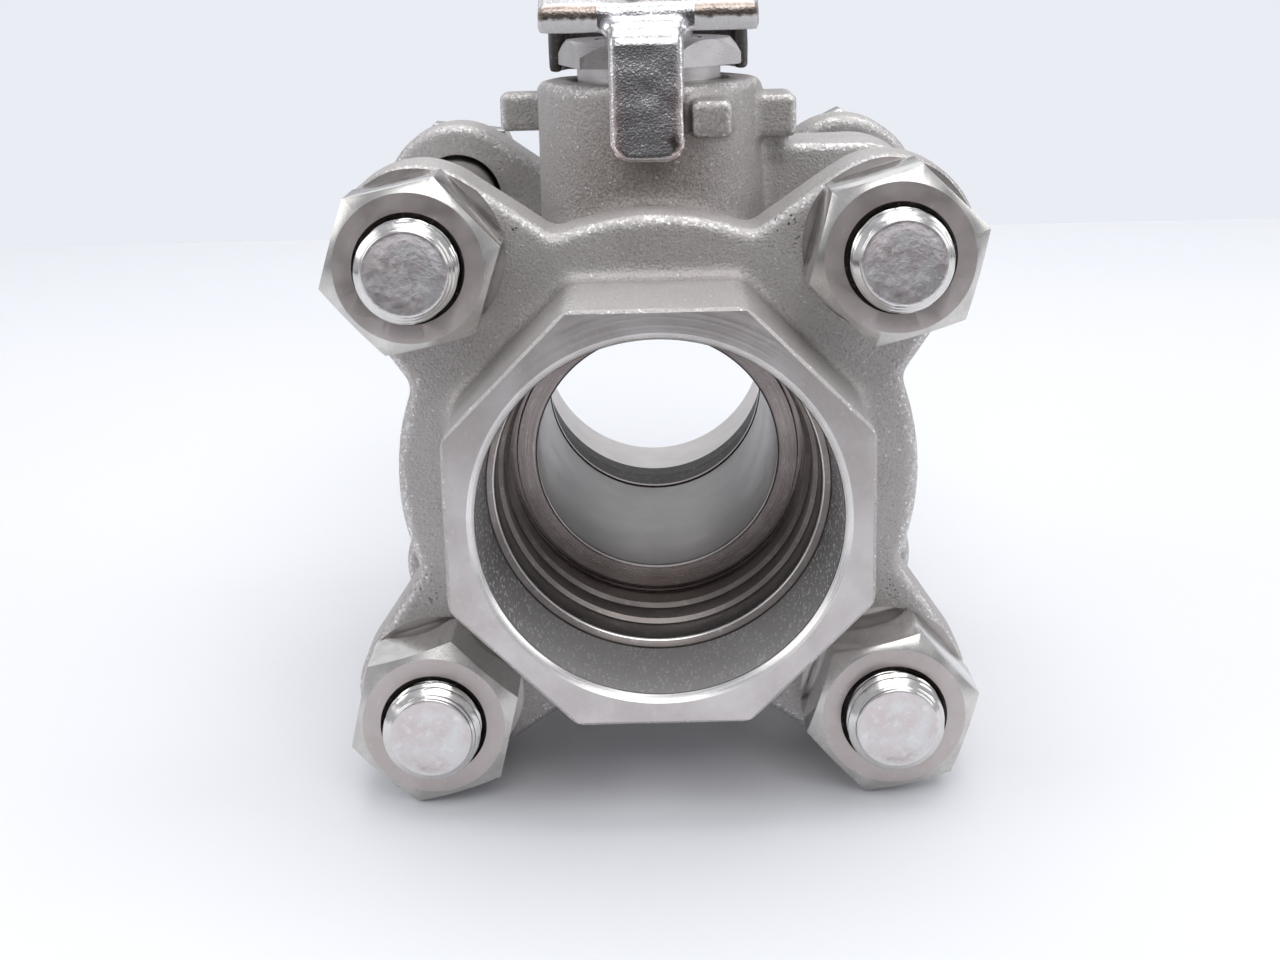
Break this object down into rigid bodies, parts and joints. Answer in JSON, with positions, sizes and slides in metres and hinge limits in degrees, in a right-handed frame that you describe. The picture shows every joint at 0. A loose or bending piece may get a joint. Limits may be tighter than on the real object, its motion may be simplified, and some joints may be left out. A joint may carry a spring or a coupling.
{
  "type": "ball valve",
  "caption": "Three-piece socket-weld ball valve with bolted end caps, a full-bore ball and a quarter-turn lever handle, in the open position.",
  "frame": {"origin": "on the surface that the valve stands on, below the middle of its bounding box; the ball's centre is 39.4 mm above it and 47.75 mm towards -Y", "axes": "+Y along the pipe axis, from the front weld end towards the lever's grip; +Z along the stem, up; +X to the right as seen from the front"},
  "size_m": [0.0789, 0.1986, 0.1127],
  "materials": {
    "cast_steel": "bead-blasted cast stainless steel, machined faces brighter",
    "turned_steel": "turned stainless steel",
    "ball_steel": "ground stainless steel, satin",
    "bolt_steel": "bright stainless steel",
    "lever_steel": "pressed sheet, barrel polished",
    "seat": "turned, fine concentric lines",
    "ptfe": "white PTFE",
    "vinyl": "dark dipped vinyl, slightly satin"
  },
  "bodies": {
    "valve_body": {"body": "cast_steel", "front_end_cap": "cast_steel", "rear_end_cap": "cast_steel", "front_seat": "seat", "rear_seat": "seat", "front_body_seal": "ptfe", "rear_body_seal": "ptfe", "stem_thrust_washer": "ptfe", "packing_ring_1": "ptfe", "packing_ring_2": "ptfe", "packing_ring_3": "ptfe", "gland_ring": "turned_steel", "gland_nut": "turned_steel", "bolt_upper_left": "bolt_steel", "bolt_upper_right": "bolt_steel", "bolt_lower_left": "bolt_steel", "bolt_lower_right": "bolt_steel", "nut_upper_left": "bolt_steel", "nut_upper_right": "bolt_steel", "nut_lower_left": "bolt_steel", "nut_lower_right": "bolt_steel"},
    "ball": {"ball": "ball_steel"},
    "handle": {"stem": "turned_steel", "lever": "lever_steel", "lever_grip": "vinyl", "lever_washer": "bolt_steel", "lever_nut": "bolt_steel"}
  },
  "joints": [
    {"name": "handle_turn", "type": "hinge", "parent": "valve_body", "child": "handle", "pos_m": [0, -0.04775, 0.0924], "axis": [0, 0, -1], "range_deg": [0, 90]},
    {"name": "ball_turn", "type": "hinge", "parent": "valve_body", "child": "ball", "pos_m": [0, -0.04775, 0.0394], "axis": [0, 0, -1], "range_deg": [0, 90]}
  ],
  "couplings": [
    {"joint": "ball_turn", "follows": "handle_turn", "ratio": 1}
  ]
}
